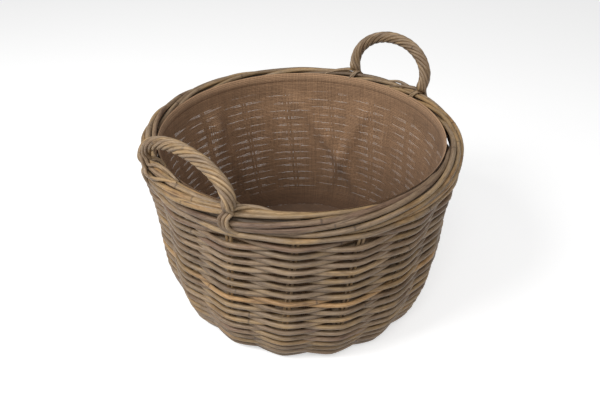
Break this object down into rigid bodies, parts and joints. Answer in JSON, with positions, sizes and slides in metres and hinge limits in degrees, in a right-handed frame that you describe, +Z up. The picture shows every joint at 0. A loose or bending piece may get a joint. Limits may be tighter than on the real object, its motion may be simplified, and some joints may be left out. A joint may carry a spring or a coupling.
{
  "type": "wicker log basket",
  "caption": "Round open log basket of woven rattan on paired stakes, with a rolled border, two roped bow handles and a hessian liner bag.",
  "frame": {"origin": "middle of the base's flat underside, on the floor", "axes": "+Z up; the two handles stand on -X and +X, the lower, wider one on -X"},
  "size_m": [0.5391, 0.5365, 0.4214],
  "materials": {
    "weavers": "natural grey-brown kubu rattan, satin skin",
    "stakes": "natural rattan, matt",
    "border": "natural grey-brown kubu rattan, satin skin",
    "handles": "paler natural rattan, satin skin",
    "base": "natural rattan, matt",
    "hessian": "brown open-weave hessian"
  },
  "bodies": {
    "root": {"stake_pair_01": "stakes", "stake_pair_02": "stakes", "stake_pair_03": "stakes", "stake_pair_04": "stakes", "stake_pair_05": "stakes", "stake_pair_06": "stakes", "stake_pair_07": "stakes", "stake_pair_08": "stakes", "stake_pair_09": "stakes", "stake_pair_10": "stakes", "stake_pair_11": "stakes", "stake_pair_12": "stakes", "stake_pair_13": "stakes", "stake_pair_14": "stakes", "stake_pair_15": "stakes", "stake_pair_16": "stakes", "stake_pair_17": "stakes", "weaver_01": "weavers", "weaver_02": "weavers", "weaver_03": "weavers", "weaver_04": "weavers", "weaver_05": "weavers", "weaver_06": "weavers", "weaver_07": "weavers", "weaver_08": "weavers", "weaver_09": "weavers", "weaver_10": "weavers", "weaver_11": "weavers", "border_rod_1": "border", "border_rod_2": "border", "border_rod_3": "border", "border_rod_4": "border", "top_wale_1": "weavers", "top_wale_2": "weavers", "top_wale_3": "weavers", "top_wale_4": "weavers", "handle_left_core": "handles", "handle_left_rope": "handles", "handle_left_tie_1": "handles", "handle_left_tie_2": "handles", "handle_right_core": "handles", "handle_right_rope": "handles", "handle_right_tie_1": "handles", "handle_right_tie_2": "handles", "base_stick_long_1": "base", "base_stick_long_2": "base", "base_stick_long_3": "base", "base_stick_long_4": "base", "base_stick_cross_1": "base", "base_stick_cross_2": "base", "base_stick_cross_3": "base", "base_stick_cross_4": "base", "base_mat": "base", "liner_bag": "hessian"}
  },
  "joints": []
}
